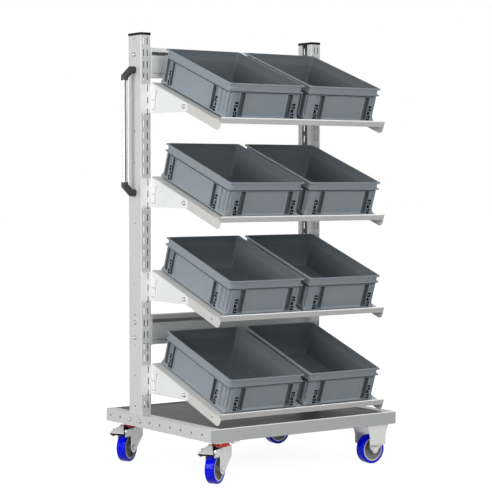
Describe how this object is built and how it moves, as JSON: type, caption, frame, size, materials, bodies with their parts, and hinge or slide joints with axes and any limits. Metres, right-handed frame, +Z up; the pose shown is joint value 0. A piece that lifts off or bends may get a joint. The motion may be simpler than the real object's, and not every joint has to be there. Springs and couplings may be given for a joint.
{
  "type": "mobile bin cart",
  "caption": "Rolling workshop cart whose slotted uprights carry tilting shelf trays with open stacking bins, a push handle, braked swivel casters and fixed casters.",
  "frame": {"origin": "on the floor under the middle of the cart's outline", "axes": "+Z up, -Y towards the front that the trays slope down to, +X from the handle side to the fixed casters"},
  "size_m": [0.821, 0.6764, 1.468],
  "materials": {
    "frame_coat": "satin light grey powder coat",
    "tray_coat": "satin warm grey powder coat",
    "deck_coat": "semi-gloss mid grey coat",
    "zinc": "bright zinc plating",
    "handle_metal": "satin anodised",
    "black_plastic": "matte black",
    "bin_plastic": "matte slate grey",
    "seal_plastic": "glossy red",
    "pedal_coat": "dark grey",
    "hub_plastic": "matte grey",
    "tyre_blue": "smooth saturated blue"
  },
  "bodies": {
    "frame": {"side_rail_left": "frame_coat", "side_rail_right": "frame_coat", "caster_beams": "frame_coat", "upright_left": "frame_coat", "upright_right": "frame_coat", "upper_crossbar": "frame_coat", "lower_crossbar": "frame_coat", "console_1_left": "frame_coat", "console_1_right": "frame_coat", "console_2_left": "frame_coat", "console_2_right": "frame_coat", "console_3_left": "frame_coat", "console_3_right": "frame_coat", "console_4_left": "frame_coat", "console_4_right": "frame_coat", "base_deck": "deck_coat", "top_caps": "black_plastic", "handle_elbows": "black_plastic", "handle_tube": "handle_metal", "rail_bolts": "zinc", "crossbar_bolts": "zinc", "handle_screws": "zinc", "pivot_bolts": "zinc", "swivel_plates": "zinc", "caster_screws": "zinc", "fixed_bracket_front": "zinc", "fixed_bracket_rear": "zinc", "fixed_axles": "zinc", "swivel_seals": "seal_plastic"},
    "tray_body_1": {"tray_1": "tray_coat", "tilt_bolts_1": "zinc"},
    "bin_body_1_left": {"bin_1_left": "bin_plastic"},
    "bin_body_1_right": {"bin_1_right": "bin_plastic"},
    "tray_body_2": {"tray_2": "tray_coat", "tilt_bolts_2": "zinc"},
    "bin_body_2_left": {"bin_2_left": "bin_plastic"},
    "bin_body_2_right": {"bin_2_right": "bin_plastic"},
    "tray_body_3": {"tray_3": "tray_coat", "tilt_bolts_3": "zinc"},
    "bin_body_3_left": {"bin_3_left": "bin_plastic"},
    "bin_body_3_right": {"bin_3_right": "bin_plastic"},
    "tray_body_4": {"tray_4": "tray_coat", "tilt_bolts_4": "zinc"},
    "bin_body_4_left": {"bin_4_left": "bin_plastic"},
    "bin_body_4_right": {"bin_4_right": "bin_plastic"},
    "swivel_front": {"fork_front": "zinc", "swivel_axle_front": "zinc"},
    "wheel_front_left": {"hub_front_left": "hub_plastic", "tyre_front_left": "tyre_blue"},
    "brake_front": {"pedal_front": "pedal_coat"},
    "wheel_front_right": {"hub_front_right": "hub_plastic", "tyre_front_right": "tyre_blue"},
    "swivel_rear": {"fork_rear": "zinc", "swivel_axle_rear": "zinc"},
    "wheel_rear_left": {"hub_rear_left": "hub_plastic", "tyre_rear_left": "tyre_blue"},
    "brake_rear": {"pedal_rear": "pedal_coat"},
    "wheel_rear_right": {"hub_rear_right": "hub_plastic", "tyre_rear_right": "tyre_blue"}
  },
  "joints": [
    {"name": "tray_1_tilt", "type": "hinge", "parent": "frame", "child": "tray_body_1", "pos_m": [0.0215, -0.08829, 1.2135], "axis": [-1, 0, 0], "range_deg": [0, 19.5]},
    {"name": "bin_1_left_lift", "type": "slide", "parent": "tray_body_1", "child": "bin_body_1_left", "axis": [0, -0.3338, 0.9426], "range_m": [0, 0.08]},
    {"name": "bin_1_right_lift", "type": "slide", "parent": "tray_body_1", "child": "bin_body_1_right", "axis": [0, -0.3338, 0.9426], "range_m": [0, 0.08]},
    {"name": "tray_2_tilt", "type": "hinge", "parent": "frame", "child": "tray_body_2", "pos_m": [0.0215, -0.08829, 0.8975], "axis": [-1, 0, 0], "range_deg": [0, 19.5]},
    {"name": "bin_2_left_lift", "type": "slide", "parent": "tray_body_2", "child": "bin_body_2_left", "axis": [0, -0.3338, 0.9426], "range_m": [0, 0.08]},
    {"name": "bin_2_right_lift", "type": "slide", "parent": "tray_body_2", "child": "bin_body_2_right", "axis": [0, -0.3338, 0.9426], "range_m": [0, 0.08]},
    {"name": "tray_3_tilt", "type": "hinge", "parent": "frame", "child": "tray_body_3", "pos_m": [0.0215, -0.08829, 0.5815], "axis": [-1, 0, 0], "range_deg": [0, 19.5]},
    {"name": "bin_3_left_lift", "type": "slide", "parent": "tray_body_3", "child": "bin_body_3_left", "axis": [0, -0.3338, 0.9426], "range_m": [0, 0.08]},
    {"name": "bin_3_right_lift", "type": "slide", "parent": "tray_body_3", "child": "bin_body_3_right", "axis": [0, -0.3338, 0.9426], "range_m": [0, 0.08]},
    {"name": "tray_4_tilt", "type": "hinge", "parent": "frame", "child": "tray_body_4", "pos_m": [0.0215, -0.08829, 0.2655], "axis": [-1, 0, 0], "range_deg": [0, 19.5]},
    {"name": "bin_4_left_lift", "type": "slide", "parent": "tray_body_4", "child": "bin_body_4_left", "axis": [0, -0.3338, 0.9426], "range_m": [0, 0.08]},
    {"name": "bin_4_right_lift", "type": "slide", "parent": "tray_body_4", "child": "bin_body_4_right", "axis": [0, -0.3338, 0.9426], "range_m": [0, 0.08]},
    {"name": "swivel_front_turn", "type": "hinge", "parent": "frame", "child": "swivel_front", "pos_m": [-0.2885, -0.25429, 0.115], "axis": [0, 0, 1], "continuous": true},
    {"name": "wheel_front_left_spin", "type": "hinge", "parent": "swivel_front", "child": "wheel_front_left", "pos_m": [-0.32621, -0.27695, 0.05], "axis": [-0.515, 0.8572, 0], "continuous": true},
    {"name": "brake_front_press", "type": "hinge", "parent": "swivel_front", "child": "brake_front", "pos_m": [-0.3365, -0.28313, 0.1131], "axis": [0.515, -0.8572, 0], "range_deg": [0, 12]},
    {"name": "wheel_front_right_spin", "type": "hinge", "parent": "frame", "child": "wheel_front_right", "pos_m": [0.3355, -0.25429, 0.05], "axis": [0, 1, 0], "continuous": true},
    {"name": "swivel_rear_turn", "type": "hinge", "parent": "frame", "child": "swivel_rear", "pos_m": [-0.2885, 0.28571, 0.115], "axis": [0, 0, 1], "continuous": true},
    {"name": "wheel_rear_left_spin", "type": "hinge", "parent": "swivel_rear", "child": "wheel_rear_left", "pos_m": [-0.32621, 0.26305, 0.05], "axis": [-0.515, 0.8572, 0], "continuous": true},
    {"name": "brake_rear_press", "type": "hinge", "parent": "swivel_rear", "child": "brake_rear", "pos_m": [-0.3365, 0.25687, 0.1131], "axis": [0.515, -0.8572, 0], "range_deg": [0, 12]},
    {"name": "wheel_rear_right_spin", "type": "hinge", "parent": "frame", "child": "wheel_rear_right", "pos_m": [0.3355, 0.28571, 0.05], "axis": [0, 1, 0], "continuous": true}
  ]
}
